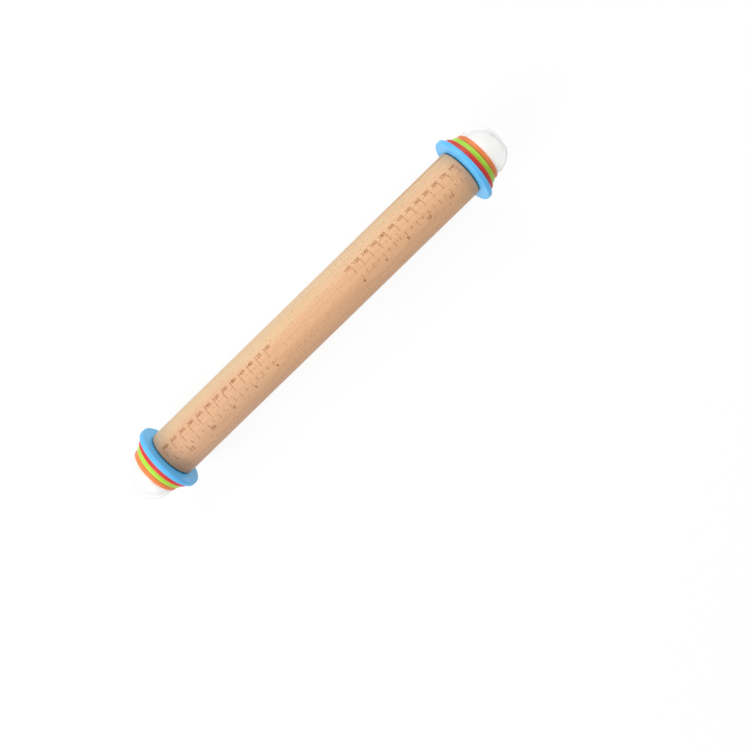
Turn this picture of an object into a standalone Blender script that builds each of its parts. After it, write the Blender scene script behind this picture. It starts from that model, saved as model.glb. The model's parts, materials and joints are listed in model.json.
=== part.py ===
"""Adjustable rolling pin: a beech roller with four pairs of discs held by screw-in end knobs.

The pin lies along X on its largest discs, with the table at Z = 0 and X = 0 at mid length. Each end is
built in its own frame, an empty at the roller's end face with local Z pointing outwards along the axis,
so both ends share one set of meshes and both threads are right-handed.
"""

import math

import bmesh
import bpy

MM = 0.001

# Sizes that every piece shares
FACETS = 40  # flats round each turned piece, a multiple of four so that the pin lies on one
GAP = 0.3 * MM  # running gap between neighbouring pieces
ARC_STEPS = 2  # flats across a rounded edge
SMOOTH_UP_TO = math.radians(30)  # edges sharper than this show as creases
WELD_DISTANCE = 0.01 * MM

# Roller
ROLLER_LENGTH = 350.0 * MM
ROLLER_RADIUS = 22.5 * MM
ROLLER_EDGE_RADIUS = 1.5 * MM
BORE_CLEAR_DEPTH = 3.0 * MM  # air between the stud's tip and the bottom of the roller's bore

# Discs, from the roller outwards: name, how far the disc raises the roller, and its colour
DISC_THICKNESS = 4.6 * MM
DISC_EDGE_RADIUS = 1.0 * MM
BLUE_RISE = 10.0 * MM
RED_RISE = 6.0 * MM
GREEN_RISE = 3.0 * MM
ORANGE_RISE = 1.5 * MM
DISCS = (
    ("blue_disc", BLUE_RISE, (0.12, 0.48, 0.98)),
    ("red_disc", RED_RISE, (0.76, 0.04, 0.04)),
    ("green_disc", GREEN_RISE, (0.38, 0.78, 0.05)),
    ("orange_disc", ORANGE_RISE, (0.86, 0.22, 0.06)),
)

# Thread of the stud in the insert
THREAD_RADIUS = 8.3 * MM  # over the crests of the stud's thread
THREAD_DEPTH = 1.5 * MM
THREAD_PITCH = 5.0 * MM
THREAD_LENGTH = 20.0 * MM  # from the roller's end face to the stud's tip
THREAD_STEPS = 20  # flats for each turn
ROOT_SHARE = 0.50  # thickness of the ridge at its root, as a share of the pitch
CREST_SHARE = 0.25
RIDGE_SEAT_SHARE = 0.40  # how far the ridge reaches into the core, as a share of its depth
RUN_OUT_SHARE = 0.30  # plain stud left before and after the ridge, as a share of the pitch
TIP_CHAMFER = 1.0 * MM

# Insert
INSERT_WALL = 3.2 * MM
INSERT_PROUD = 0.5 * MM  # how far the insert stands out of the roller, which keeps the discs off the wood
INSERT_BARB = 0.5 * MM  # height of the rings that grip the wood
INSERT_BARBS = 3
MOUTH_CHAMFER = 0.8 * MM

# Stud
JOURNAL_STEP = 1.7 * MM  # journal over thread crests, on the radius
FLANGE_THICKNESS = 3.0 * MM

# Knob
KNOB_LENGTH = 22.0 * MM
KNOB_RADIUS = 23.0 * MM
KNOB_WALL = 3.2 * MM
KNOB_RIM = 2.0 * MM  # least width of the rim round the stud's flange
KNOB_REACH = 1.2 * MM  # how far the rim reaches in over the flat of the last disc
KNOB_FLAT_RADIUS = 7.0 * MM  # flat at the end of the dome
KNOB_EDGE_RADIUS = 0.8 * MM
KNOB_FULLNESS = 0.6  # exponent of the dome: 1 is an ellipse, less is fuller
KNOB_STEPS = 6
HOLLOW_STEPS = 4

# Materials: name, base colour and roughness
BEECH = ("beech", (0.78, 0.52, 0.32), 0.55)
INSERT_PLASTIC = ("insert_plastic", (0.55, 0.55, 0.53), 0.45)
STUD_PLASTIC = ("stud_plastic", (0.85, 0.85, 0.83), 0.35)
FROSTED_PLASTIC = ("frosted_plastic", (0.90, 0.90, 0.88), 0.50)
DISC_ROUGHNESS = 0.35

# Sizes that follow
AXIS_HEIGHT = (ROLLER_RADIUS + max(rise for _, rise, _ in DISCS)) * math.cos(math.pi / FACETS)
SEAT_HEIGHT = INSERT_PROUD + GAP  # from the roller's end face to the first disc and the journal's shoulder
STACK = SEAT_HEIGHT + len(DISCS) * (DISC_THICKNESS + GAP)  # from the roller's end face to the knob
CORE_RADIUS = THREAD_RADIUS - THREAD_DEPTH
JOURNAL_RADIUS = THREAD_RADIUS + JOURNAL_STEP
INSERT_RADIUS = THREAD_RADIUS + GAP + INSERT_WALL
BORE_RADIUS = INSERT_RADIUS + GAP
BORE_DEPTH = THREAD_LENGTH + BORE_CLEAR_DEPTH
LAST_FLAT_RADIUS = ROLLER_RADIUS + DISCS[-1][1] - DISC_EDGE_RADIUS
FLANGE_SEAT_RADIUS = min(KNOB_RADIUS - KNOB_RIM, LAST_FLAT_RADIUS - KNOB_REACH)


def clear_scene():
    for obj in list(bpy.data.objects):
        bpy.data.objects.remove(obj, do_unlink=True)


def new_collection(name):
    collection = bpy.data.collections.new(name)
    bpy.context.scene.collection.children.link(collection)
    return collection


def material(name, colour, roughness):
    """A plain Principled material."""
    made = bpy.data.materials.new(name)
    made.use_nodes = True
    made.diffuse_color = (*colour, 1.0)
    shader = made.node_tree.nodes["Principled BSDF"]
    shader.inputs["Base Color"].default_value = (*colour, 1.0)
    shader.inputs["Roughness"].default_value = roughness
    shader.inputs["Metallic"].default_value = 0.0
    return made


def rounded(corner, radius, start, end):
    """(radius, height) points of a rounded corner: an arc about its centre from one angle to another."""
    points = []
    for step in range(ARC_STEPS + 1):
        angle = math.radians(start + (end - start) * step / ARC_STEPS)
        points.append((corner[0] + radius * math.cos(angle), corner[1] + radius * math.sin(angle)))
    return points


def turned(name, profile, closed):
    """Mesh of a (radius, height) profile turned about Z. Its outer side runs from top to bottom."""
    outline = bpy.data.meshes.new(name)
    last = len(profile) - 1
    edges = [(index, index + 1) for index in range(last)]
    if closed:
        edges.append((last, 0))
    outline.from_pydata([(radius, 0.0, height) for radius, height in profile], edges, [])
    carrier = bpy.data.objects.new(name, outline)
    bpy.context.scene.collection.objects.link(carrier)
    screw = carrier.modifiers.new("turn", "SCREW")
    screw.axis = "Z"
    screw.steps = FACETS
    screw.render_steps = FACETS
    screw.use_merge_vertices = True
    screw.merge_threshold = WELD_DISTANCE
    depsgraph = bpy.context.evaluated_depsgraph_get()
    mesh = bpy.data.meshes.new_from_object(carrier.evaluated_get(depsgraph))
    mesh.name = name
    bpy.data.objects.remove(carrier, do_unlink=True)
    bpy.data.meshes.remove(outline)
    mesh.shade_smooth()
    mesh.set_sharp_from_angle(angle=SMOOTH_UP_TO)
    return mesh


def helix(name, section, low, high):
    """Closed ridge: a (radius, height) section carried up a right-hand helix between two heights."""
    steps = round((high - low) / THREAD_PITCH * THREAD_STEPS)
    turn = math.tau / THREAD_STEPS
    angle = math.tau * low / THREAD_PITCH
    builder = bmesh.new()
    corners = [
        builder.verts.new((radius * math.cos(angle), radius * math.sin(angle), low + height))
        for radius, height in section
    ]
    face = builder.faces.new(corners)
    bmesh.ops.spin(
        builder,
        geom=[face, *face.edges, *face.verts],
        cent=(0.0, 0.0, 0.0),
        axis=(0.0, 0.0, 1.0),
        dvec=(0.0, 0.0, THREAD_PITCH / THREAD_STEPS),
        angle=turn * steps,
        steps=steps,
        use_duplicate=False,
    )
    bmesh.ops.recalc_face_normals(builder, faces=builder.faces)
    mesh = bpy.data.meshes.new(name)
    builder.to_mesh(mesh)
    builder.free()
    return mesh


def place(name, mesh, collection, look=None, parent=None, height=0.0):
    """A new object on its parent's axis, turned half a flat so that a flat faces down."""
    obj = bpy.data.objects.new(name, mesh)
    collection.objects.link(obj)
    obj.parent = parent
    obj.location = (0.0, 0.0, height)
    obj.rotation_euler = (0.0, 0.0, math.pi / FACETS)
    if look:
        mesh.materials.clear()
        mesh.materials.append(look)
    return obj


def boolean(obj, tool, operation):
    modifier = obj.modifiers.new(tool.name, "BOOLEAN")
    modifier.object = tool
    modifier.operation = operation
    modifier.solver = "EXACT"


def axis_frame(name, location, turn, collection):
    """An empty whose local Z is turned from the world's about Y."""
    empty = bpy.data.objects.new(name, None)
    empty.location = location
    empty.rotation_euler = (0.0, turn, 0.0)
    empty.empty_display_size = ROLLER_RADIUS
    collection.objects.link(empty)
    return empty


def roller_mesh():
    """The beech cylinder with a blind bore in each end, about its middle."""
    half = ROLLER_LENGTH / 2
    edge = ROLLER_EDGE_RADIUS
    top = rounded((ROLLER_RADIUS - edge, half - edge), edge, 90, 0)
    bottom = rounded((ROLLER_RADIUS - edge, edge - half), edge, 0, -90)
    profile = [(0.0, half - BORE_DEPTH), (BORE_RADIUS, half - BORE_DEPTH), (BORE_RADIUS, half)]
    profile += top + bottom
    profile += [(BORE_RADIUS, -half), (BORE_RADIUS, BORE_DEPTH - half), (0.0, BORE_DEPTH - half)]
    return turned("roller", profile, closed=False)


def disc_mesh(name, rise):
    """A flat ring with a rounded rim, from its inner face at zero height."""
    radius = ROLLER_RADIUS + rise
    edge = DISC_EDGE_RADIUS
    bore = JOURNAL_RADIUS + GAP
    profile = [(bore, DISC_THICKNESS)]
    profile += rounded((radius - edge, DISC_THICKNESS - edge), edge, 90, 0)
    profile += rounded((radius - edge, edge), edge, 0, -90)
    profile += [(bore, 0.0)]
    return turned(name, profile, closed=True)


def insert_mesh():
    """The sleeve in the roller's bore, before its thread is cut. Its barbs step out towards the mouth."""
    mouth = INSERT_PROUD
    end = -THREAD_LENGTH
    bore = CORE_RADIUS + GAP
    barb_height = (mouth - end) / INSERT_BARBS
    profile = []
    for index in range(INSERT_BARBS):
        top = mouth - barb_height * index
        profile += [(INSERT_RADIUS, top), (INSERT_RADIUS - INSERT_BARB, top - barb_height)]
    profile += [(bore, end), (bore, mouth - MOUTH_CHAMFER), (bore + MOUTH_CHAMFER, mouth)]
    return turned("insert", profile, closed=True)


def ridge_section(clearance):
    """Outline of the thread's ridge, or of the groove for it when a clearance is given."""
    root = THREAD_PITCH * ROOT_SHARE / 2 + clearance
    crest = THREAD_PITCH * CREST_SHARE / 2 + clearance
    seat = CORE_RADIUS - THREAD_DEPTH * RIDGE_SEAT_SHARE
    return [
        (seat, -root),
        (THREAD_RADIUS + clearance, -crest),
        (THREAD_RADIUS + clearance, crest),
        (seat, root),
    ]


def stud_mesh():
    """The knob's stud before its thread is added: flange, journal for the discs, and core."""
    flange = FLANGE_SEAT_RADIUS - GAP
    tip = -THREAD_LENGTH
    profile = [
        (0.0, STACK + FLANGE_THICKNESS),
        (flange, STACK + FLANGE_THICKNESS),
        (flange, STACK),
        (JOURNAL_RADIUS, STACK),
        (JOURNAL_RADIUS, SEAT_HEIGHT),
        (CORE_RADIUS, SEAT_HEIGHT),
        (CORE_RADIUS, tip + TIP_CHAMFER),
        (CORE_RADIUS - TIP_CHAMFER, tip),
        (0.0, tip),
    ]
    return turned("stud", profile, closed=False)


def dome(radius, length, steps, start, end):
    """(radius, height) points of a full dome between two angles above its base."""
    points = []
    for step in range(steps + 1):
        angle = start + (end - start) * step / steps
        points.append((radius * math.cos(angle) ** KNOB_FULLNESS, length * math.sin(angle)))
    return points


def knob_mesh():
    """The hollow frosted knob, open at its base, where the stud's flange closes it."""
    flat = math.acos((KNOB_FLAT_RADIUS / KNOB_RADIUS) ** (1 / KNOB_FULLNESS))
    edge = KNOB_EDGE_RADIUS
    outer = dome(KNOB_RADIUS, (KNOB_LENGTH - edge) / math.sin(flat), KNOB_STEPS, flat, 0.0)
    ledge = FLANGE_THICKNESS + GAP
    hollow_length = KNOB_LENGTH - KNOB_WALL
    hollow_start = math.asin(ledge / hollow_length)
    inner = dome(KNOB_RADIUS - KNOB_WALL, hollow_length, HOLLOW_STEPS, hollow_start, math.pi / 2)
    profile = [(0.0, KNOB_LENGTH)]
    profile += [(radius, height + edge) for radius, height in outer[:-1]]
    profile += rounded((KNOB_RADIUS - edge, edge), edge, 0, -90)
    profile += [(FLANGE_SEAT_RADIUS, 0.0), (FLANGE_SEAT_RADIUS, ledge)]
    profile += inner[:-1]
    profile += [(0.0, hollow_length)]
    return turned("knob", profile, closed=False)


def build_end(side, turn, meshes, looks, parts, cutters):
    """One end of the pin: its insert, four discs and knob, on the end's own outward axis."""
    frame = axis_frame(
        f"{side}_end",
        (math.sin(turn) * ROLLER_LENGTH / 2, 0.0, AXIS_HEIGHT),
        turn,
        parts,
    )
    insert = place(f"threaded_insert_{side}", meshes["insert"], parts, looks["insert"], frame)
    groove = place(f"groove_{side}", meshes["groove"], cutters, parent=frame)
    boolean(insert, groove, "DIFFERENCE")
    height = SEAT_HEIGHT
    for name, _, _ in DISCS:
        place(f"{name}_{side}", meshes[name], parts, looks[name], frame, height)
        height += DISC_THICKNESS + GAP
    place(f"knob_shell_{side}", meshes["knob"], parts, looks["knob"], frame, STACK)
    stud = place(f"threaded_stud_{side}", meshes["stud"], parts, looks["stud"], frame)
    ridge = place(f"ridge_{side}", meshes["ridge"], cutters, parent=frame)
    boolean(stud, ridge, "UNION")
    for tool in (groove, ridge):
        tool.hide_render = True
        tool.display_type = "WIRE"


def build():
    clear_scene()
    parts = new_collection("adjustable_rolling_pin")
    cutters = new_collection("cutters")
    run_out = THREAD_PITCH * RUN_OUT_SHARE
    looks = {
        "roller": material(*BEECH),
        "insert": material(*INSERT_PLASTIC),
        "stud": material(*STUD_PLASTIC),
        "knob": material(*FROSTED_PLASTIC),
    }
    meshes = {
        "insert": insert_mesh(),
        "stud": stud_mesh(),
        "knob": knob_mesh(),
        "ridge": helix("ridge", ridge_section(0.0), TIP_CHAMFER + run_out - THREAD_LENGTH, -run_out),
        "groove": helix("groove", ridge_section(GAP), -THREAD_LENGTH - THREAD_PITCH, THREAD_PITCH),
    }
    for name, rise, colour in DISCS:
        looks[name] = material(name, colour, DISC_ROUGHNESS)
        meshes[name] = disc_mesh(name, rise)
    middle = axis_frame("pin_axis", (0.0, 0.0, AXIS_HEIGHT), math.pi / 2, parts)
    place("roller", roller_mesh(), parts, looks["roller"], middle)
    build_end("left", -math.pi / 2, meshes, looks, parts, cutters)
    build_end("right", math.pi / 2, meshes, looks, parts, cutters)


build()
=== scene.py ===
"""Looks of the adjustable rolling pin: beech roller with an etched scale, coloured discs, frosted knobs.

Every turned piece is built round its own axis, which is local Z, and placed by its end of the pin. Each
end's origin is the middle of the roller's end face, with local Z pointing outwards.
"""

import json
import math

import bmesh
import bpy
from mathutils import Euler, Matrix, Vector

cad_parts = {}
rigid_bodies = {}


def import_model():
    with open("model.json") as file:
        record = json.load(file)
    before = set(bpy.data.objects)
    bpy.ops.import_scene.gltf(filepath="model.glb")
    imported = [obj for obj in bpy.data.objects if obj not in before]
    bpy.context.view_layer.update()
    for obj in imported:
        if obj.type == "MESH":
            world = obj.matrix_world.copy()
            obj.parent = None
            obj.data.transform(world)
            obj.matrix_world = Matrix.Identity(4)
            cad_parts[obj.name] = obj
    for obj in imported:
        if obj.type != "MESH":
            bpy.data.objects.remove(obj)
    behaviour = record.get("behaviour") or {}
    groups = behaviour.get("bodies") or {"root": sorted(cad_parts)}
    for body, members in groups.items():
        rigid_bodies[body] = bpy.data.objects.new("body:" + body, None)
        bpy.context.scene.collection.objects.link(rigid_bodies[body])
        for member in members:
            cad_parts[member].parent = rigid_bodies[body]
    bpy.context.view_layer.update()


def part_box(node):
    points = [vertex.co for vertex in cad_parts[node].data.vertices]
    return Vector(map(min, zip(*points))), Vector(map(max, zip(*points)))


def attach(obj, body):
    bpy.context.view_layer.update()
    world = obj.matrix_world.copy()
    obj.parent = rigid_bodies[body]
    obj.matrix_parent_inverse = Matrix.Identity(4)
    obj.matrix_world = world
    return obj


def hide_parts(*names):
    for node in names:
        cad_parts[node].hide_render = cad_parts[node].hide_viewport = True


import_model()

MM = 0.001
INCH = 25.4 * MM
SIDES = {"left": -1, "right": 1}
COLOURS = ("blue", "red", "green", "orange")

# Turned surfaces
CAD_FACETS = 40  # flats round each turned node of the frame
TO_ROUND = 1 / math.cos(math.pi / CAD_FACETS)  # from half a node's width to its radius over the corners
SEGMENTS = 128
ROLLER_SEGMENTS = 192
ROLLER_RINGS = 70  # rows of faces along the roller
ARC_STEPS = 8
SMOOTH_UP_TO = math.radians(32)  # edges sharper than this show as creases
WELD = 0.001 * MM

# Sizes inside the pieces, which the frame's boxes don't give
GAP = 0.3 * MM
ROLLER_EDGE_RADIUS = 1.5 * MM
DISC_EDGE_RADIUS = 1.0 * MM
BORE_EDGE = 0.5 * MM
THREAD_CREST = 8.3 * MM
THREAD_CORE = 6.8 * MM
THREAD_PITCH = 5.0 * MM
THREAD_LENGTH = 20.0 * MM
THREAD_FADE = 1.6 * MM  # height over which a thread grows out of its core
THREAD_EASE = 12  # the thread's depth, over the size of its eased corners
STUD_RIDGE = (1.07 * MM, 0.62 * MM)  # half the ridge's thickness, at its root and at its crest
INSERT_GROOVE = (1.32 * MM, 0.92 * MM)  # half the groove's width, at the bore and at its floor
JOURNAL_RADIUS = 10.0 * MM
FLANGE_SEAT_RADIUS = 21.0 * MM
FLANGE_THICKNESS = 3.0 * MM
STUD_EDGE = 0.4 * MM
TIP_CHAMFER = 1.0 * MM
INSERT_RADIUS = 11.8 * MM
INSERT_PROUD = 0.5 * MM
INSERT_BARB = 0.5 * MM
INSERT_BARBS = 3
MOUTH_CHAMFER = 0.8 * MM
BORE_DEPTH = 23.0 * MM
KNOB_WALL = 3.2 * MM
KNOB_FLAT_RADIUS = 7.0 * MM
KNOB_EDGE_RADIUS = 0.8 * MM
KNOB_FULLNESS = 0.6  # exponent of the dome: 1 is an ellipse, less is fuller
KNOB_STEPS = 24

# Etched scale, measured along the wood from the line that faces straight up, positive towards +Y
ETCH_DEPTH = 0.18 * MM
ETCH_ABOVE = 0.2 * MM  # how far the cutting blocks stand out of the wood
MARK_WIDTH = 0.38 * MM
MARK_STEPS = 6
DIGIT_HEIGHT = 3.0 * MM
DIGIT_WIDTH = 2.05 * MM
DIGIT_BOLDNESS = 0.012  # how far each stroke's edges move out, as a share of the font's size
FONT_RESOLUTION = 3
FONT_EXTRUDE = 0.5  # any depth, because the digits are then scaled to size
FONT_WELD = 1e-5  # in the font's own units
METRIC_FIRST, METRIC_LAST, METRIC_STEP = 100, 340, 20  # widths in millimetres
METRIC_OUTWARD = 0.45 * MM  # how far the marks stand outside their true places
METRIC_MARK = (0.2 * MM, 6.8 * MM)
METRIC_LABEL = 7.1 * MM
INCH_FIRST, INCH_LAST = 4, 13  # widths in inches
INCH_OUTWARD = 1.1 * MM
INCH_MARK_TOP = -2.9 * MM
INCH_MARK_LENGTH = 4.3 * MM
HALF_INCH_MARK_LENGTH = 3.2 * MM
INCH_LABEL = -10.3 * MM
INCH_LABEL_EVERY = 4  # half inches from one number to the next

# Camera
CAMERA_PLACE = Vector((32.93 * MM, 0.0, 613.6 * MM))
CAMERA_TURN = tuple(math.radians(angle) for angle in (-2.562, 1.796, -44.178))  # about X, Y and Z
CAMERA_LENS = 32.2
CAMERA_SHIFT = (0.0359, -0.0674)
CAMERA_NEAR = 10 * MM


def corner(node):
    """(half length along X, radius over the corners, height of the axis) of a turned node."""
    low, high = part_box(node)
    return (high.x - low.x) / 2, (high.z - low.z) / 2 * TO_ROUND, (high.z + low.z) / 2


HALF_LENGTH, ROLLER_RADIUS, AXIS_HEIGHT = corner("roller")


def arc(centre, radius, start, end, steps=ARC_STEPS):
    """(radius, height) points of an arc about a centre, from one angle in degrees to another."""
    points = []
    for step in range(steps + 1):
        angle = math.radians(start + (end - start) * step / steps)
        points.append((centre[0] + radius * math.cos(angle), centre[1] + radius * math.sin(angle)))
    return points


def add_ring(builder, radius, height, segments):
    """The corners of one ring about Z. A zero radius is a single point."""
    corners = []
    for index in range(segments if radius > 0 else 1):
        angle = math.tau * index / segments
        corners.append(builder.verts.new((radius * math.cos(angle), radius * math.sin(angle), height)))
    return corners


def add_turned(builder, profile, segments, closed=False):
    """Adds the surface of a (radius, height) profile turned about Z."""
    rings = [add_ring(builder, radius, height, segments) for radius, height in profile]
    if closed:
        rings.append(rings[0])
    for upper, lower in zip(rings, rings[1:]):
        for index in range(segments):
            following = (index + 1) % segments
            if len(upper) == 1:
                builder.faces.new((upper[0], lower[index], lower[following]))
            elif len(lower) == 1:
                builder.faces.new((upper[index], lower[0], upper[following]))
            else:
                builder.faces.new((upper[index], lower[index], lower[following], upper[following]))


def add_thread(builder, core, rows, low, high, segments):
    """Adds a screw thread between two heights, on rows that follow the helix.

    Each row is (share of the pitch from the ridge's middle, radius). The ridge fades into the core at
    both ends, where the rows are cut off level.
    """
    first = math.floor((low / THREAD_PITCH - 1.0) * segments)
    last = math.ceil((high / THREAD_PITCH + 1.0) * segments)
    grid = []
    for step in range(first, last + 1):
        angle = math.tau * step / segments
        column = []
        for share, radius in rows:
            height = THREAD_PITCH * (step / segments + share)
            inside = min(height - low, high - height) / THREAD_FADE
            fade = min(max(inside, 0.0), 1.0)
            reach = core + (radius - core) * fade * fade * (3 - 2 * fade)
            level = min(max(height, low), high)
            column.append(builder.verts.new((reach * math.cos(angle), reach * math.sin(angle), level)))
        grid.append(column)
    for step in range(len(grid) - 1):
        for row in range(len(rows)):
            if row + 1 < len(rows):
                ends = grid[step][row + 1], grid[step + 1][row + 1]
            elif step + segments + 1 < len(grid):
                ends = grid[step + segments][0], grid[step + segments + 1][0]
            else:
                continue
            builder.faces.new((grid[step][row], grid[step + 1][row], ends[1], ends[0]))


def finished(builder, name):
    """The builder's mesh, welded, with its normals out and only its sharp edges creased."""
    bmesh.ops.remove_doubles(builder, verts=builder.verts, dist=WELD)
    bmesh.ops.recalc_face_normals(builder, faces=builder.faces)
    mesh = bpy.data.meshes.new(name)
    builder.to_mesh(mesh)
    builder.free()
    mesh.shade_smooth()
    mesh.set_sharp_from_angle(angle=SMOOTH_UP_TO)
    return mesh


def turned(name, profile, segments=SEGMENTS, closed=False):
    """The finished mesh of one turned profile."""
    builder = bmesh.new()
    add_turned(builder, profile, segments, closed)
    return finished(builder, name)


def disc_mesh(name, radius, thickness):
    """A flat ring, with the edges of its rim rounded and those of its bore eased."""
    bore = JOURNAL_RADIUS + GAP
    edge = DISC_EDGE_RADIUS
    profile = arc((radius - edge, thickness - edge), edge, 90, 0)
    profile += arc((radius - edge, edge), edge, 0, -90)
    profile += arc((bore + BORE_EDGE, BORE_EDGE), BORE_EDGE, -90, -180)
    profile += arc((bore + BORE_EDGE, thickness - BORE_EDGE), BORE_EDGE, 180, 90)
    return turned(name, profile, closed=True)


def knob_mesh(length, radius):
    """The hollow frosted dome, open at its base round the stud's flange."""
    edge = KNOB_EDGE_RADIUS
    flat = math.acos((KNOB_FLAT_RADIUS / radius) ** (1 / KNOB_FULLNESS))
    rise = (length - edge) / math.sin(flat)
    profile = [(0.0, length)]
    for step in range(KNOB_STEPS):
        angle = flat * (1 - step / KNOB_STEPS)
        profile.append((radius * math.cos(angle) ** KNOB_FULLNESS, edge + rise * math.sin(angle)))
    profile += arc((radius - edge, edge), edge, 0, -90)
    ledge = FLANGE_THICKNESS + GAP
    hollow = length - KNOB_WALL
    profile += [(FLANGE_SEAT_RADIUS, 0.0), (FLANGE_SEAT_RADIUS, ledge)]
    start = math.asin(ledge / hollow)
    for step in range(KNOB_STEPS):
        angle = start + (math.pi / 2 - start) * step / KNOB_STEPS
        inside = (radius - KNOB_WALL) * math.cos(angle) ** KNOB_FULLNESS
        profile.append((inside, hollow * math.sin(angle)))
    profile.append((0.0, hollow))
    return turned("knob", profile)


def thread_rows(core, crest, half_widths):
    """Rows of one pitch of thread, with its crest and root corners eased."""
    core_half, crest_half = half_widths
    ease = (crest - core) / THREAD_EASE
    half = [
        (0.0, crest),
        (crest_half - ease, crest),
        (crest_half + ease / 2, crest - ease),
        (core_half - ease / 2, core + ease),
        (core_half + ease, core),
    ]
    rows = [(-width / THREAD_PITCH, radius) for width, radius in reversed(half[1:])]
    rows += [(width / THREAD_PITCH, radius) for width, radius in half]
    return [*rows, (0.5, core)]


def stud_mesh(stack):
    """The knob's stud: flange, journal that carries the discs, and thread."""
    flange = FLANGE_SEAT_RADIUS - GAP
    shoulder = INSERT_PROUD + GAP
    edge = STUD_EDGE
    top = stack + FLANGE_THICKNESS
    thread_low = TIP_CHAMFER - THREAD_LENGTH
    thread_high = -TIP_CHAMFER
    profile = [(0.0, top)]
    profile += arc((flange - edge, top - edge), edge, 90, 0)
    profile += [(flange, stack), (JOURNAL_RADIUS, stack)]
    profile += arc((JOURNAL_RADIUS - edge, shoulder + edge), edge, 0, -90)
    profile += [(THREAD_CORE, shoulder), (THREAD_CORE, thread_high)]
    tip = [(THREAD_CORE, thread_low), (THREAD_CORE - TIP_CHAMFER, -THREAD_LENGTH), (0.0, -THREAD_LENGTH)]
    rows = thread_rows(THREAD_CORE, THREAD_CREST, STUD_RIDGE)
    builder = bmesh.new()
    add_turned(builder, profile, SEGMENTS)
    add_thread(builder, THREAD_CORE, rows, thread_low, thread_high, SEGMENTS)
    add_turned(builder, tip, SEGMENTS)
    return finished(builder, "stud")


def insert_mesh():
    """The threaded sleeve in the roller's bore. Its barbs step out towards the mouth."""
    mouth = INSERT_PROUD
    end = -THREAD_LENGTH
    bore = THREAD_CORE + GAP
    barb = (mouth - end) / INSERT_BARBS
    thread_low = end + TIP_CHAMFER
    thread_high = mouth - MOUTH_CHAMFER
    profile = [(bore, thread_high), (bore + MOUTH_CHAMFER, mouth)]
    for index in range(INSERT_BARBS):
        top = mouth - barb * index
        profile += [(INSERT_RADIUS, top), (INSERT_RADIUS - INSERT_BARB, top - barb)]
    profile += [(bore, end), (bore, thread_low)]
    rows = thread_rows(bore, THREAD_CREST + GAP, INSERT_GROOVE)
    builder = bmesh.new()
    add_turned(builder, profile, SEGMENTS)
    add_thread(builder, bore, rows, thread_low, thread_high, SEGMENTS)
    return finished(builder, "insert")


def roller_mesh():
    """The beech cylinder about its middle, with a blind bore in each end."""
    edge = ROLLER_EDGE_RADIUS
    bore = INSERT_RADIUS + GAP
    half = HALF_LENGTH
    straight = 2 * (half - edge)
    profile = [(0.0, half - BORE_DEPTH), (bore, half - BORE_DEPTH)]
    profile += arc((bore + BORE_EDGE, half - BORE_EDGE), BORE_EDGE, 180, 90)
    profile += arc((ROLLER_RADIUS - edge, half - edge), edge, 90, 0)
    for ring in range(1, ROLLER_RINGS):
        profile.append((ROLLER_RADIUS, half - edge - straight * ring / ROLLER_RINGS))
    profile += arc((ROLLER_RADIUS - edge, edge - half), edge, 0, -90)
    profile += arc((bore + BORE_EDGE, BORE_EDGE - half), BORE_EDGE, -90, -180)
    profile += [(bore, BORE_DEPTH - half), (0.0, BORE_DEPTH - half)]
    return turned("roller", profile, ROLLER_SEGMENTS)


def wrapped(builder, along, up):
    """Bends a flat shape onto the wood: its X runs along the roller, its Y round it and its Z outwards."""
    for vert in builder.verts:
        angle = (up + vert.co.y) / ROLLER_RADIUS
        reach = ROLLER_RADIUS + vert.co.z
        vert.co = (along + vert.co.x, reach * math.sin(angle), AXIS_HEIGHT + reach * math.cos(angle))


def join(builder, other):
    """Moves another builder's mesh into this one."""
    mesh = bpy.data.meshes.new("joined")
    other.to_mesh(mesh)
    other.free()
    builder.from_mesh(mesh)
    bpy.data.meshes.remove(mesh)


def add_mark(builder, along, low, high):
    """A straight mark round the wood, as a closed block that reaches from the etching's floor to the air."""
    block = bmesh.new()
    bmesh.ops.create_cube(block, size=1.0)
    run = [edge for edge in block.edges if abs(edge.verts[0].co.y - edge.verts[1].co.y) > 0]
    bmesh.ops.subdivide_edges(block, edges=run, cuts=MARK_STEPS - 1)
    size = Matrix.Diagonal((MARK_WIDTH, high - low, ETCH_DEPTH + ETCH_ABOVE))
    bmesh.ops.transform(block, matrix=size.to_4x4(), verts=block.verts)
    bmesh.ops.translate(block, vec=(0.0, 0.0, (ETCH_ABOVE - ETCH_DEPTH) / 2), verts=block.verts)
    wrapped(block, along, (low + high) / 2)
    join(builder, block)


def number_block(text):
    """A number as a closed block in the font's own units, with its faces free of slivers."""
    outline = bpy.data.curves.new("label", "FONT")
    outline.body = text
    outline.resolution_u = FONT_RESOLUTION
    outline.extrude = FONT_EXTRUDE
    outline.offset = DIGIT_BOLDNESS
    carrier = bpy.data.objects.new("label", outline)
    bpy.context.scene.collection.objects.link(carrier)
    depsgraph = bpy.context.evaluated_depsgraph_get()
    mesh = bpy.data.meshes.new_from_object(carrier.evaluated_get(depsgraph))
    bpy.data.objects.remove(carrier)
    bpy.data.curves.remove(outline)
    glyphs = bmesh.new()
    glyphs.from_mesh(mesh)
    bpy.data.meshes.remove(mesh)
    bmesh.ops.remove_doubles(glyphs, verts=glyphs.verts, dist=FONT_WELD)
    bmesh.ops.beautify_fill(glyphs, faces=glyphs.faces, edges=glyphs.edges)
    bmesh.ops.recalc_face_normals(glyphs, faces=glyphs.faces)
    return glyphs


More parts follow.
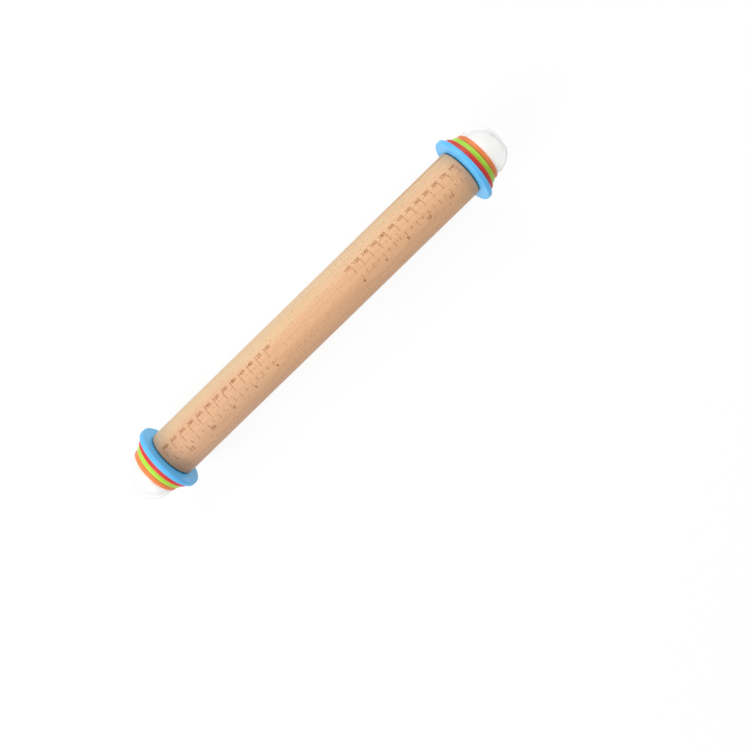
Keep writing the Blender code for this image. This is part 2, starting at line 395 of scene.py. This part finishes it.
def add_label(builder, along, base, side, text):
    """A number whose near end is level with its mark, and which runs towards the middle of the pin."""
    glyphs = number_block(text)
    low = [min(vert.co[axis] for vert in glyphs.verts) for axis in range(3)]
    high = [max(vert.co[axis] for vert in glyphs.verts) for axis in range(3)]
    width = DIGIT_WIDTH * len(text)
    size = (width, DIGIT_HEIGHT, ETCH_DEPTH + ETCH_ABOVE)
    start = (0.0 if side < 0 else -width, 0.0, -ETCH_DEPTH)
    for vert in glyphs.verts:
        vert.co = [
            start[axis] + (vert.co[axis] - low[axis]) / (high[axis] - low[axis]) * size[axis]
            for axis in range(3)
        ]
    wrapped(glyphs, along, base)
    join(builder, glyphs)


def scale_mesh():
    """Everything that is etched into the wood, as closed blocks: widths in millimetres and in inches."""
    builder = bmesh.new()
    for side in SIDES.values():
        for width in range(METRIC_FIRST, METRIC_LAST + 1, METRIC_STEP):
            along = side * (width / 2 * MM + METRIC_OUTWARD)
            add_mark(builder, along, *METRIC_MARK)
            add_label(builder, along, METRIC_LABEL, side, str(width))
        for halves in range(2 * INCH_FIRST, 2 * INCH_LAST + 1):
            along = side * (halves / 4 * INCH + INCH_OUTWARD)
            length = HALF_INCH_MARK_LENGTH if halves % 2 else INCH_MARK_LENGTH
            add_mark(builder, along, INCH_MARK_TOP - length, INCH_MARK_TOP)
            if halves % INCH_LABEL_EVERY == 0:
                add_label(builder, along, INCH_LABEL, side, str(halves // 2))
    mesh = bpy.data.meshes.new("scale")
    builder.to_mesh(mesh)
    builder.free()
    return mesh


def etched(mesh, wood, burnt):
    """The roller's mesh with the scale cut into it. The cut's faces take the burnt look."""
    middle = Matrix.Translation((0.0, 0.0, AXIS_HEIGHT)) @ Matrix.Rotation(math.pi / 2, 4, "Y")
    mesh.transform(middle)
    mesh.materials.append(wood)
    blocks = scale_mesh()
    blocks.materials.append(burnt)
    objects = bpy.context.scene.collection.objects
    roller = bpy.data.objects.new("roller_blank", mesh)
    cutter = bpy.data.objects.new("scale_cutter", blocks)
    objects.link(roller)
    objects.link(cutter)
    cut = roller.modifiers.new("etching", "BOOLEAN")
    cut.object = cutter
    cut.operation = "DIFFERENCE"
    cut.solver = "EXACT"
    cut.use_self = True  # or the cut fails on the digits' blocks
    cut.material_mode = "TRANSFER"
    depsgraph = bpy.context.evaluated_depsgraph_get()
    made = bpy.data.meshes.new_from_object(roller.evaluated_get(depsgraph))
    bpy.data.objects.remove(roller)
    bpy.data.objects.remove(cutter)
    made.shade_smooth()
    made.set_sharp_from_angle(angle=SMOOTH_UP_TO)
    return made


# Materials. Places in the wood are in millimetres from the pin's own origin.

# Noises: waves per millimetre along X, Y and Z, then detail and roughness
SLOW_NOISE = ((0.006, 0.03, 0.03), 3.0, 0.5)
PATCH_NOISE = ((0.012, 0.08, 0.08), 3.0, 0.6)
PORE_NOISE = ((0.5, 7.0, 7.0), 3.0, 0.65)
STREAK_NOISE = ((0.05, 1.1, 1.1), 3.0, 0.7)
CHAR_NOISE = ((1.2, 1.6, 1.6), 3.0, 0.6)
BURN_NOISE = ((0.09, 0.09, 0.09), 1.0, 0.5)
FLOW_NOISE = ((0.08, 0.08, 0.08), 3.0, 0.5)
SATIN_NOISE = ((3.0, 3.0, 3.0), 2.0, 0.5)
NOISE_MIDDLE = 0.5

# Colours of the beech, and how strongly each feature shows
BEECH_WARM = (0.84, 0.490, 0.271)
BEECH_PINK = (0.794, 0.468, 0.276)
# painted sheen: the paler, yellower wood of the lit side towards +Y
BEECH_PALE_SHEEN = (0.825, 0.608, 0.366)
BEECH_LATE = (0.60, 0.31, 0.165)
BEECH_FLECK = (0.38, 0.15, 0.055)
# painted shadow: darker brown for the wood in the discs' shade near both ends
BEECH_PAINTED_SHADOW = (0.50, 0.27, 0.15)
LATE_SHARE = 0.30
FLECK_SHARE = 0.85
PORE_SHARE = 0.35
STREAK_SHARE = 0.72

# Growth rings
PITH = (0.0, 46.0, -60.0)  # centre of the rings
RING_SPACING = 2.4
RING_STRETCH = (0.012, 1.0, 1.0)  # rings hardly change along the pin
RING_WANDER = 9.0  # how far a ring strays from its circle
RING_SHADES = ((0.0, 0.25), (0.12, 0.0), (0.62, 0.1), (0.93, 0.8), (1.0, 0.25))  # late wood across a ring

# Where the wood's tone, its painted sheen and its painted shadows change: pairs are the places where a
# change begins and ends
PALE_SHEEN_SIDE = (8.0, 25.0)  # along Y: where the painted sheen of the lit side begins and is full
PALE_SHEEN_RUN = (30.0, 80.0)  # along X, where the painted sheen weakens towards the right
PALE_SHEEN_SHARES = (1.0, 0.8)  # strength of the painted sheen before and after its run
PINK_RUN = (-30.0, -100.0)  # along X
PATCH_REACH = 8.0  # how far the patches move the painted sheen's border
PATCH_SHADES = ((0.4, 0.10), (0.6, 0.0))
PAINTED_END_SHADOWS = ((8.0, 0.0, 0.70), (12.0, 3.0, 0.36))  # left, right: painted shadow that the discs cast on the wood near each end: how far in it begins, is full, its share

# Flecks and pores
FLECK_CELLS = (0.30, 1.1, 1.1)  # per millimetre along X, Y and Z
FLECK_SHAPE = ((0.14, 1.0), (0.34, 0.0))
FLECK_CHOICE = (0.45, 1.0)  # a cell's random value, where its fleck begins to show and is full
PORE_SHAPE = ((0.30, 1.0), (0.48, 0.0))
FLECK_DEPTH = -0.5
PORE_DEPTH = -0.6
WOOD_RELIEF = 0.03 * MM
WOOD_ROUGHNESS = (0.42, 0.56)
WOOD_SPECULAR = 0.4

# The dark streak of grain
STREAK_ARC = (32.0, 26.7)  # its place round the wood, from the top
STREAK_RUN = (60.0, 130.0)  # where along X the streak has those two places
STREAK_WAVE = 3.0
STREAK_RAGGED = 2.2  # how far its border frays
STREAK_BORDER = (2.9, 1.0)
STREAK_FADE = (40.0, 90.0)  # where along X it fades in

# Etched marks
CHAR_SHADES = ((0.38, (0.33, 0.10, 0.032)), (0.62, (0.57, 0.215, 0.082)))
CHAR_ROUGHNESS = (0.7, 0.9)
CHAR_RELIEF = 0.04 * MM
CHAR_SPECULAR = 0.2

# Plastics: colour, roughness, and constants of the shader
DISC_ROUGHNESS = 0.36
DISC_SHADER = {"Specular IOR Level": 0.35}
PLASTICS = {
    "insert_plastic": ((0.55, 0.55, 0.53), 0.45, {}),
    "stud_plastic": ((0.84, 0.84, 0.82), 0.35, {}),
    "frosted_plastic": ((0.955, 0.96, 0.95), 0.78, {"Transmission Weight": 0.84, "IOR": 1.06}),
    "blue_plastic": ((0.125, 0.535, 1.0), DISC_ROUGHNESS, DISC_SHADER),
    "red_plastic": ((0.81, 0.046, 0.037), DISC_ROUGHNESS, DISC_SHADER),
    "green_plastic": ((0.45, 0.90, 0.07), DISC_ROUGHNESS, DISC_SHADER),
    "orange_plastic": ((0.96, 0.262, 0.08), DISC_ROUGHNESS, DISC_SHADER),
}
FLOW_STOPS = (0.3, 0.7)  # flow noise at which the plastic is deepest and palest
FLOW_DEEP = 0.95
FLOW_PALE = 1.05
FLOW_LIFT = 0.004  # added to the palest colour
FLOW_ROUGHNESS = (-0.05, 0.07)  # about each plastic's own
SATIN_RELIEF = 0.01 * MM


def add(tree, kind, sockets=None, **settings):
    """A new node. Sockets are its inputs by name or number, each a value or another node's output."""
    made = tree.nodes.new(kind)
    for key, value in settings.items():
        setattr(made, key, value)
    for key, value in (sockets or {}).items():
        if isinstance(value, bpy.types.NodeSocket):
            tree.links.new(value, made.inputs[key])
        else:
            made.inputs[key].default_value = value
    return made


def ramp(tree, value, stops):
    """A colour ramp over (place, grey) or (place, colour) stops."""
    made = add(tree, "ShaderNodeValToRGB", {"Fac": value})
    points = made.color_ramp.elements
    while len(points) < len(stops):
        points.new(1.0)
    for point, (place, colour) in zip(points, stops):
        point.position = place
        point.color = (*colour, 1.0) if isinstance(colour, tuple) else (colour, colour, colour, 1.0)
    return made.outputs["Color"]


def mix(tree, factor, first, second):
    """The first colour, changed into the second by a factor."""
    made = add(tree, "ShaderNodeMix", data_type="RGBA")
    for index, value in ((0, factor), (6, first), (7, second)):
        if isinstance(value, bpy.types.NodeSocket):
            tree.links.new(value, made.inputs[index])
        else:
            made.inputs[index].default_value = (*value, 1.0)
    return made.outputs[2]


def math_node(tree, operation, first, second=0.0):
    """The result of one sum on values or outputs."""
    return add(tree, "ShaderNodeMath", {0: first, 1: second}, operation=operation).outputs[0]


def times(tree, first, second):
    """The product of two values or outputs."""
    return math_node(tree, "MULTIPLY", first, second)


def plus(tree, first, second):
    """The sum of two values or outputs."""
    return math_node(tree, "ADD", first, second)


def mapped(tree, value, places, ends=(0.0, 1.0), kind="LINEAR"):
    """ends[0] up to places[0] and ends[1] from places[1] on, with a change between. Pairs may run down."""
    sockets = {0: value, 1: places[0], 2: places[1], 3: ends[0], 4: ends[1]}
    return add(tree, "ShaderNodeMapRange", sockets, interpolation_type=kind).outputs[0]


def eased(tree, value, places, ends=(0.0, 1.0)):
    """As mapped, but the change starts and ends softly."""
    return mapped(tree, value, places, ends, "SMOOTHSTEP")


def in_mm(tree, scale=(1.0, 1.0, 1.0)):
    """The piece's own coordinates in millimetres, stretched by a scale for each axis."""
    place = add(tree, "ShaderNodeTexCoord").outputs["Object"]
    stretch = tuple(number / MM for number in scale)
    return add(tree, "ShaderNodeMapping", {"Vector": place, "Scale": stretch}).outputs["Vector"]


def noise(tree, settings):
    """One of the noises above, between 0 and 1."""
    waves, detail, roughness = settings
    sockets = {"Vector": in_mm(tree, waves), "Scale": 1.0, "Detail": detail, "Roughness": roughness}
    return add(tree, "ShaderNodeTexNoise", sockets).outputs["Fac"]


def new_material(name, constants):
    """A Principled material, with constants set on its own sockets. Returns it, its tree and its shader."""
    made = bpy.data.materials.new(name)
    made.use_nodes = True
    tree = made.node_tree
    shader = tree.nodes["Principled BSDF"]
    for key, value in constants.items():
        shader.inputs[key].default_value = value
    return made, tree, shader


def connect(tree, shader, colour, roughness, height, relief):
    """Links a colour, a roughness and a bump of a depth in metres to the shader."""
    bump = add(tree, "ShaderNodeBump", {"Height": height, "Distance": relief, "Strength": 1.0})
    tree.links.new(colour, shader.inputs["Base Color"])
    tree.links.new(roughness, shader.inputs["Roughness"])
    tree.links.new(bump.outputs["Normal"], shader.inputs["Normal"])


def late_wood(tree, place, slow):
    """How dark the growth rings are at a place."""
    pith = add(tree, "ShaderNodeVectorMath", {0: place, 1: PITH}, operation="SUBTRACT").outputs[0]
    across = add(tree, "ShaderNodeVectorMath", {0: pith, 1: RING_STRETCH}, operation="MULTIPLY").outputs[0]
    distance = add(tree, "ShaderNodeVectorMath", {0: across}, operation="LENGTH").outputs["Value"]
    rings = math_node(tree, "DIVIDE", plus(tree, distance, times(tree, slow, RING_WANDER)), RING_SPACING)
    return ramp(tree, math_node(tree, "FRACT", rings), RING_SHADES)


def fleck_strength(tree):
    """Short flecks along the grain, in some of the cells."""
    sockets = {"Vector": in_mm(tree, FLECK_CELLS), "Scale": 1.0}
    cells = add(tree, "ShaderNodeTexVoronoi", sockets).outputs
    near = ramp(tree, cells["Distance"], FLECK_SHAPE)
    chosen = add(tree, "ShaderNodeSeparateColor", {0: cells["Color"]}).outputs[0]
    return times(tree, near, eased(tree, chosen, FLECK_CHOICE))


def streak(tree, axes, slow):
    """Strength of one dark, slightly wavy line of grain that fades in along the right half."""
    up = math_node(tree, "SUBTRACT", axes["Z"], AXIS_HEIGHT / MM)
    turn = math_node(tree, "ARCTAN2", axes["Y"], up)
    arc_length = times(tree, turn, ROLLER_RADIUS / MM)
    path = mapped(tree, axes["X"], STREAK_RUN, STREAK_ARC)
    wave = times(tree, math_node(tree, "SUBTRACT", slow, NOISE_MIDDLE), STREAK_WAVE)
    off = math_node(tree, "SUBTRACT", plus(tree, arc_length, wave), path)
    fraying = times(tree, noise(tree, STREAK_NOISE), STREAK_RAGGED)
    ragged = plus(tree, math_node(tree, "ABSOLUTE", off), fraying)
    line = eased(tree, ragged, STREAK_BORDER)
    return times(tree, times(tree, line, eased(tree, axes["X"], STREAK_FADE)), STREAK_SHARE)


def beech():
    """Steamed beech: growth rings about a distant pith, fine pores, and short dark flecks along the grain.

    One side, towards +Y where the lamps light it, is painted paler and yellower as sheen, and the wood near
    both ends is painted darker with the discs' shadows.
    """
    made, tree, shader = new_material("beech_wood", {"Specular IOR Level": WOOD_SPECULAR})
    place = in_mm(tree)
    axes = add(tree, "ShaderNodeSeparateXYZ", {0: place}).outputs
    slow = noise(tree, SLOW_NOISE)
    patches = noise(tree, PATCH_NOISE)
    flecks = fleck_strength(tree)
    pores = noise(tree, PORE_NOISE)
    pits = ramp(tree, pores, PORE_SHAPE)
    # painted sheen: paler and yellower towards +Y, the side the lamps light, its border broken up by the
    # patches
    border = plus(tree, axes["Y"], times(tree, patches, PATCH_REACH))
    fading = eased(tree, axes["X"], PALE_SHEEN_RUN, PALE_SHEEN_SHARES)
    pale = times(tree, eased(tree, border, PALE_SHEEN_SIDE), fading)
    warm = mix(tree, eased(tree, axes["X"], PINK_RUN), BEECH_WARM, BEECH_PINK)
    colour = mix(tree, pale, warm, BEECH_PALE_SHEEN)
    layers = [
        (ramp(tree, patches, PATCH_SHADES), BEECH_LATE),
        (times(tree, late_wood(tree, place, slow), LATE_SHARE), BEECH_LATE),
        (times(tree, flecks, FLECK_SHARE), BEECH_FLECK),
        (times(tree, pits, PORE_SHARE), BEECH_FLECK),
        (streak(tree, axes, slow), BEECH_FLECK),
    ]
    # painted shadow of the discs on the wood near each end, stronger on the left, where the key lamp stands
    half = HALF_LENGTH / MM
    for sign, (start, full, strength) in zip(SIDES.values(), PAINTED_END_SHADOWS):
        end_shadow = eased(tree, axes["X"], (sign * (half - start), sign * (half - full)))
        layers.append((times(tree, end_shadow, strength), BEECH_PAINTED_SHADOW))
    for strength, tone in layers:
        colour = mix(tree, strength, colour, tone)
    roughness = mapped(tree, pores, (0.0, 1.0), WOOD_ROUGHNESS)
    height = plus(tree, times(tree, pits, PORE_DEPTH), times(tree, flecks, FLECK_DEPTH))
    connect(tree, shader, colour, roughness, height, WOOD_RELIEF)
    return made


def burnt_beech():
    """The etched marks: wood charred brown, uneven along each stroke."""
    made, tree, shader = new_material("burnt_beech", {"Specular IOR Level": CHAR_SPECULAR})
    char = noise(tree, CHAR_NOISE)
    mean = times(tree, plus(tree, char, noise(tree, BURN_NOISE)), 0.5)
    roughness = mapped(tree, char, (0.0, 1.0), CHAR_ROUGHNESS)
    connect(tree, shader, ramp(tree, mean, CHAR_SHADES), roughness, char, CHAR_RELIEF)
    return made


def moulded(name):
    """Moulded plastic: a slight flow mottle in its colour, and a fine satin grain."""
    colour, rough, constants = PLASTICS[name]
    made, tree, shader = new_material(f"{name}_look", constants)
    flow = noise(tree, FLOW_NOISE)
    deep = tuple(channel * FLOW_DEEP for channel in colour)
    pale = tuple(min(1.0, channel * FLOW_PALE + FLOW_LIFT) for channel in colour)
    shade = ramp(tree, flow, tuple(zip(FLOW_STOPS, (deep, pale))))
    roughness = mapped(tree, flow, (0.0, 1.0), tuple(rough + change for change in FLOW_ROUGHNESS))
    connect(tree, shader, shade, roughness, noise(tree, SATIN_NOISE), SATIN_RELIEF)
    return made


def piece(name, mesh, look, body, node, where):
    """An object in its place that stands for a node of the frame and moves with its body."""
    obj = bpy.data.objects.new(name, mesh)
    bpy.context.scene.collection.objects.link(obj)
    obj.matrix_world = where
    if not mesh.materials:
        mesh.materials.append(look)
    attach(obj, body)
    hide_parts(node)


def make_pin():
    """The roller, then each end's insert, discs, knob and stud. Both ends share their meshes."""
    wood = beech()
    mesh = etched(roller_mesh(), wood, burnt_beech())
    piece("beech_roller", mesh, wood, "roller", "roller", Matrix.Identity(4))
    looks = {slot: moulded(slot) for slot in PLASTICS}
    _, disc_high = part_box("orange_disc_right")
    stack = disc_high.x - HALF_LENGTH + GAP
    insert = insert_mesh()
    stud = stud_mesh(stack)
    half, radius, _ = corner("knob_shell_left")
    knob = knob_mesh(2 * half, radius)
    discs = {}
    for colour in COLOURS:
        half, radius, _ = corner(f"{colour}_disc_right")
        radius = min(radius, AXIS_HEIGHT)  # or the round blue discs sink into the floor
        discs[colour] = disc_mesh(f"{colour}_disc", radius, 2 * half)
    for side, sign in SIDES.items():
        turn = Matrix.Rotation(sign * math.pi / 2, 4, "Y")
        end = Matrix.Translation((sign * HALF_LENGTH, 0.0, AXIS_HEIGHT)) @ turn
        node = f"threaded_insert_{side}"
        piece(f"{side}_insert", insert, looks["insert_plastic"], "roller", node, end)
        for colour, mesh in discs.items():
            node = f"{colour}_disc_{side}"
            slot = f"{colour}_plastic"
            low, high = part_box(node)
            start = min(abs(low.x), abs(high.x)) - HALF_LENGTH
            where = end @ Matrix.Translation((0.0, 0.0, start))
            piece(f"{side}_{colour}_disc", mesh, looks[slot], node, node, where)
        body = f"knob_{side}"
        node = f"knob_shell_{side}"
        where = end @ Matrix.Translation((0.0, 0.0, stack))
        piece(f"{side}_knob", knob, looks["frosted_plastic"], body, node, where)
        node = f"threaded_stud_{side}"
        piece(f"{side}_stud", stud, looks["stud_plastic"], body, node, end)


# Studio

FLOOR_SIZE = 40.0
FLOOR_GLOW = (0.90, 0.98)  # near the pin, and far away where the lamps no longer reach
FLOOR_REACH = (0.6, 3.5)  # metres from the pin where the glow has those two strengths
FLOOR_SHADED = (0.11, 0.11, 0.11)
FLOOR_PALE = (0.80, 0.80, 0.80)
WORLD_PALE = (0.97, 0.97, 1.0)
WORLD_LEVEL = 0.31
WHITE = (1.0, 1.0, 1.0, 1.0)
LAMPS = (  # name, place, size and power in watts of each soft lamp, which aims at the middle of the pin
    ("key_light", (-1.90, 0.00, 1.22), 1.26, 39.0),
    ("fill_light", (1.94, 0.00, 1.15), 1.26, 12.5),
    ("back_light", (0.46, 1.73, 1.38), 1.26, 18.5),
)


def seen_shader(tree):
    """1 where the camera, a gloss or a clear surface looks, and 0 for soft light."""
    path = add(tree, "ShaderNodeLightPath").outputs
    total = plus(tree, path["Is Camera Ray"], path["Is Glossy Ray"])
    total = plus(tree, total, path["Is Transmission Ray"])
    return math_node(tree, "MINIMUM", total, 1.0)


def floor():
    """The pale floor. To the camera it is white, less the pin's soft shadow."""
    made = bpy.data.materials.new("floor_white")
    made.use_nodes = True
    tree = made.node_tree
    tree.nodes.clear()
    soft = add(tree, "ShaderNodeBsdfDiffuse", {"Color": (*FLOOR_PALE, 1.0)}).outputs[0]
    faint = add(tree, "ShaderNodeBsdfDiffuse", {"Color": (*FLOOR_SHADED, 1.0)}).outputs[0]
    place = add(tree, "ShaderNodeTexCoord").outputs["Object"]
    away = add(tree, "ShaderNodeVectorMath", {0: place}, operation="LENGTH").outputs["Value"]
    bright = mapped(tree, away, FLOOR_REACH, FLOOR_GLOW)
    glow = add(tree, "ShaderNodeEmission", {"Color": WHITE, "Strength": bright}).outputs[0]
    shown = add(tree, "ShaderNodeAddShader", {0: faint, 1: glow}).outputs[0]
    both = add(tree, "ShaderNodeMixShader", {0: seen_shader(tree), 1: soft, 2: shown})
    add(tree, "ShaderNodeOutputMaterial", {"Surface": both.outputs[0]})
    builder = bmesh.new()
    bmesh.ops.create_grid(builder, x_segments=1, y_segments=1, size=FLOOR_SIZE / 2)
    mesh = bpy.data.meshes.new("floor")
    builder.to_mesh(mesh)
    builder.free()
    mesh.materials.append(made)
    obj = bpy.data.objects.new("floor", mesh)
    bpy.context.scene.collection.objects.link(obj)


def world():
    """A dim, even light on the pin, and a white background to the camera."""
    made = bpy.data.worlds.new("studio")
    bpy.context.scene.world = made
    made.use_nodes = True
    tree = made.node_tree
    tree.nodes.clear()
    soft = {"Color": (*WORLD_PALE, 1.0), "Strength": WORLD_LEVEL}
    soft = add(tree, "ShaderNodeBackground", soft).outputs[0]
    white = add(tree, "ShaderNodeBackground", {"Color": WHITE, "Strength": 1.0}).outputs[0]
    both = add(tree, "ShaderNodeMixShader", {0: seen_shader(tree), 1: soft, 2: white})
    add(tree, "ShaderNodeOutputWorld", {"Surface": both.outputs[0]})


def lamps():
    """The soft lamps, aimed at the middle of the pin."""
    middle = Vector((0.0, 0.0, AXIS_HEIGHT))
    for name, place, size, power in LAMPS:
        lamp = bpy.data.lights.new(name, "AREA")
        lamp.shape = "DISK"
        lamp.size = size
        lamp.energy = power
        obj = bpy.data.objects.new(name, lamp)
        obj.visible_transmission = name != "key_light"  # or the frosted knob that faces it burns out
        obj.location = place
        obj.rotation_euler = (middle - obj.location).to_track_quat("-Z", "Y").to_euler()
        bpy.context.scene.collection.objects.link(obj)


def camera():
    """Almost straight above the pin, which lies corner to corner in the picture."""
    made = bpy.data.cameras.new("camera")
    made.lens = CAMERA_LENS
    made.shift_x, made.shift_y = CAMERA_SHIFT
    made.clip_start = CAMERA_NEAR
    obj = bpy.data.objects.new("camera", made)
    bpy.context.scene.collection.objects.link(obj)
    obj.location = CAMERA_PLACE
    obj.rotation_mode = "ZYX"
    obj.rotation_euler = Euler(CAMERA_TURN, "ZYX")
    bpy.context.scene.camera = obj


make_pin()
floor()
world()
lamps()
camera()
bpy.context.scene.view_settings.view_transform = "Standard"
